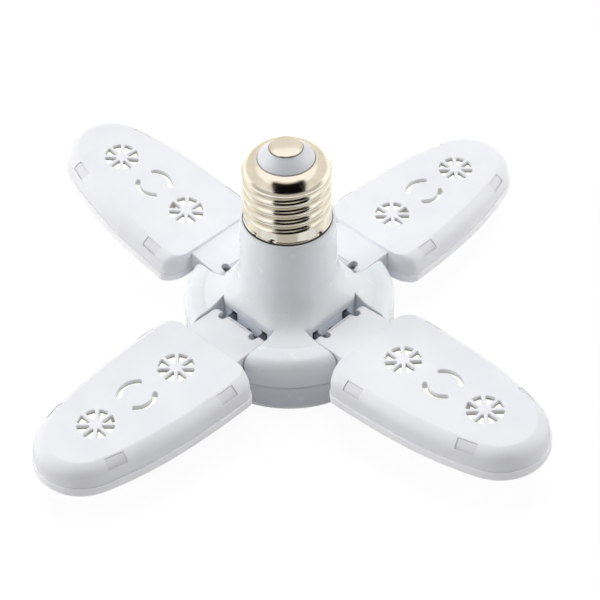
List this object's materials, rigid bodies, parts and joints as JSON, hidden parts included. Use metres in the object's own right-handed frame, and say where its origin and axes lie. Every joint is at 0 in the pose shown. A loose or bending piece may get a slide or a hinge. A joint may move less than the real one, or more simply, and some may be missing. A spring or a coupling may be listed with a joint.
{
  "type": "folding leaf ceiling lamp",
  "caption": "Screw-cap ceiling lamp with a round hub and rounded light leaves on hinges, each of which folds up towards the cap.",
  "frame": {"origin": "centre of the hub diffuser's flat underside, on the cap's axis", "axes": "+Z along the cap's axis towards its centre contact; leaf 1 lies along +X, leaf 2 along +Y, leaf 3 along -X and leaf 4 along -Y"},
  "size_m": [0.1974, 0.1975, 0.0769],
  "materials": {
    "nickel": "bright nickel plating with a warm tint",
    "insulator": "satin",
    "hub_plastic": "satin moulding, a little glossier than the leaves",
    "leaf_plastic": "fine satin moulding",
    "diffuser": "milky, frosted",
    "light_board": "white solder mask on an aluminium board",
    "led": "pale yellow phosphor",
    "steel": "zinc plated",
    "wire_insulation": "coloured PVC sleeve",
    "circuit_board": "green solder mask",
    "component_sleeve": "shrink sleeve",
    "ferrite": "sintered ferrite",
    "component_black": "moulded epoxy",
    "resistor_body": "lacquered"
  },
  "bodies": {
    "hub": {"cap_shell": "nickel", "cap_insulator": "insulator", "centre_contact": "nickel", "cap_leads": "wire_insulation", "hub_housing": "hub_plastic", "hub_base": "hub_plastic", "hub_diffuser": "diffuser", "hub_light_board": "light_board", "hub_leds": "led", "base_screws": "steel", "leaf_feed_leads": "wire_insulation", "driver_board": "circuit_board", "bulk_capacitor": "component_sleeve", "smoothing_inductor": "ferrite", "bridge_rectifier": "component_black", "driver_chip": "component_black", "fusible_resistor": "resistor_body", "bracket_rivets": "steel", "leaf_1_bracket": "steel", "leaf_2_bracket": "steel", "leaf_3_bracket": "steel", "leaf_4_bracket": "steel", "leaf_1_pins": "steel", "leaf_2_pins": "steel", "leaf_3_pins": "steel", "leaf_4_pins": "steel"},
    "leaf_1": {"leaf_1_housing": "leaf_plastic", "leaf_1_diffuser": "diffuser", "leaf_1_light_board": "light_board", "leaf_1_leds": "led", "leaf_1_screws": "steel", "leaf_1_leads": "wire_insulation"},
    "leaf_2": {"leaf_2_housing": "leaf_plastic", "leaf_2_diffuser": "diffuser", "leaf_2_light_board": "light_board", "leaf_2_leds": "led", "leaf_2_screws": "steel", "leaf_2_leads": "wire_insulation"},
    "leaf_3": {"leaf_3_housing": "leaf_plastic", "leaf_3_diffuser": "diffuser", "leaf_3_light_board": "light_board", "leaf_3_leds": "led", "leaf_3_screws": "steel", "leaf_3_leads": "wire_insulation"},
    "leaf_4": {"leaf_4_housing": "leaf_plastic", "leaf_4_diffuser": "diffuser", "leaf_4_light_board": "light_board", "leaf_4_leds": "led", "leaf_4_screws": "steel", "leaf_4_leads": "wire_insulation"}
  },
  "joints": [
    {"name": "leaf_1_hinge", "type": "hinge", "parent": "hub", "child": "leaf_1", "pos_m": [0.022, 0, 0.0164], "axis": [0, -1, 0], "range_deg": [-3.3, 86.7]},
    {"name": "leaf_2_hinge", "type": "hinge", "parent": "hub", "child": "leaf_2", "pos_m": [0, 0.022, 0.0164], "axis": [1, 0, 0], "range_deg": [-0.8, 89.2]},
    {"name": "leaf_3_hinge", "type": "hinge", "parent": "hub", "child": "leaf_3", "pos_m": [-0.022, 0, 0.0164], "axis": [0, 1, 0], "range_deg": [-9.1, 80.9]},
    {"name": "leaf_4_hinge", "type": "hinge", "parent": "hub", "child": "leaf_4", "pos_m": [0, -0.022, 0.0164], "axis": [-1, 0, 0], "range_deg": [0, 90]}
  ]
}
